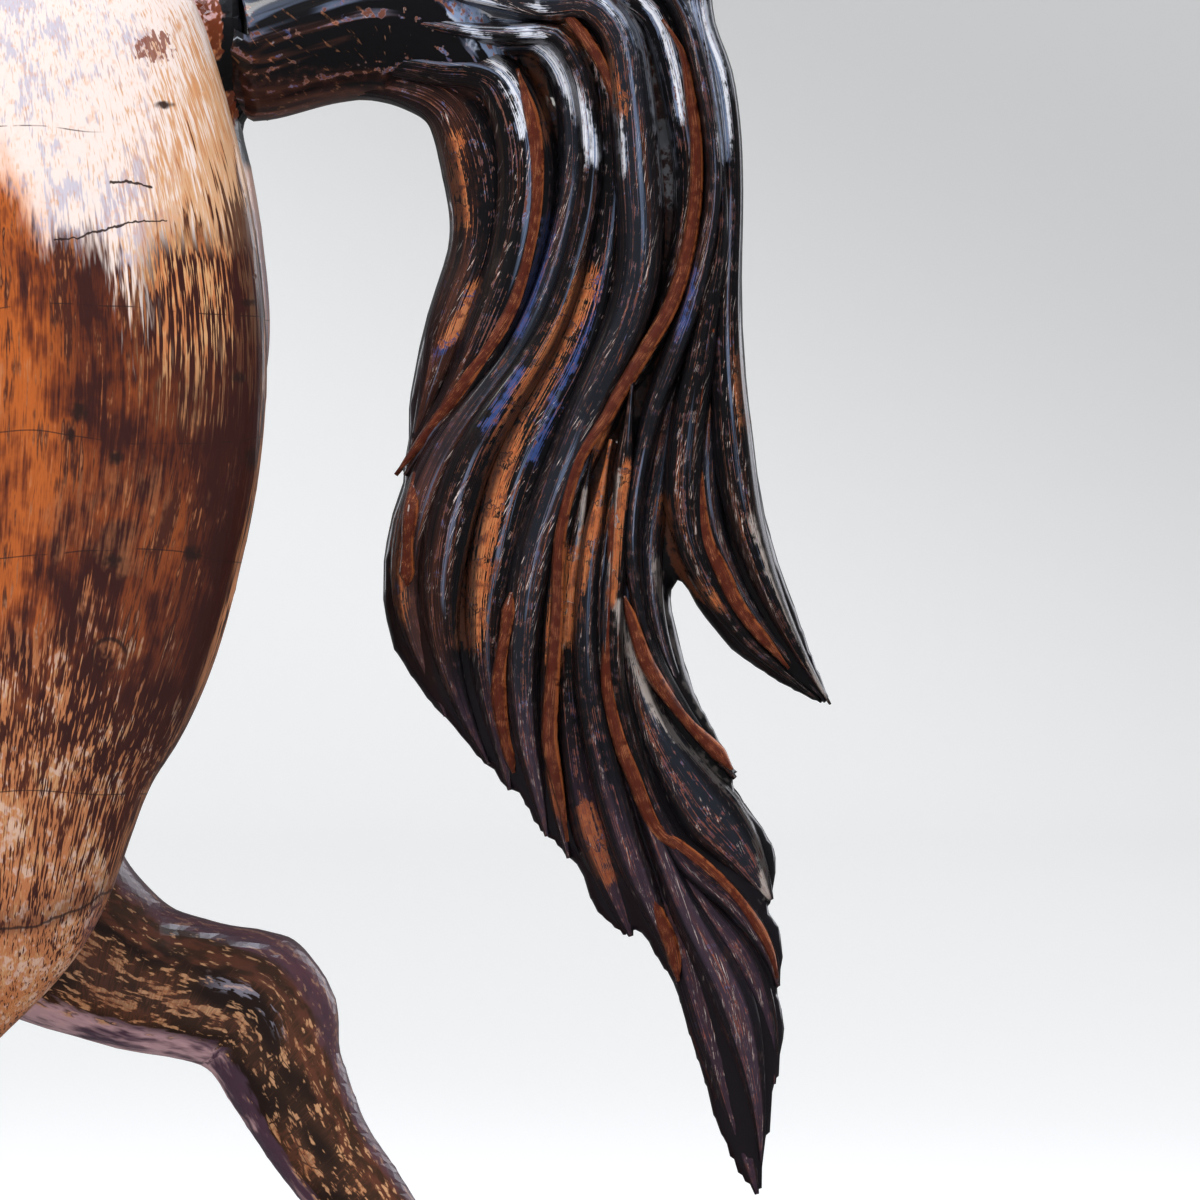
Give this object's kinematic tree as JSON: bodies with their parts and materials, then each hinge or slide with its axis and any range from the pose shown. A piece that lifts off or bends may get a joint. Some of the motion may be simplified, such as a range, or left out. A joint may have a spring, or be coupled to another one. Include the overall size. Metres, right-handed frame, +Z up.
{
  "type": "wooden horse sculpture",
  "caption": "Carved wooden horse in mid stride on a low wooden base, with a glossy black carved tail that arches from the rump and falls in long locks.",
  "frame": {"origin": "middle of the base's underside", "axes": "+Z up; the horse faces -X and its near (left) side is -Y, so +X is towards the tail"},
  "size_m": [1.1436, 0.3392, 1.1431],
  "materials": {
    "horse_wood": "glossy lacquer over red-brown stained wood with pale bleached patches, hairline glue lines and scuffs",
    "tail_paint": "glossy black paint on carved wood, with red-brown cords and worn orange and blue patches",
    "base_wood": "satin dark brown stained wood"
  },
  "bodies": {
    "root": {"horse": "horse_wood", "tail": "tail_paint", "base": "base_wood"}
  },
  "joints": []
}
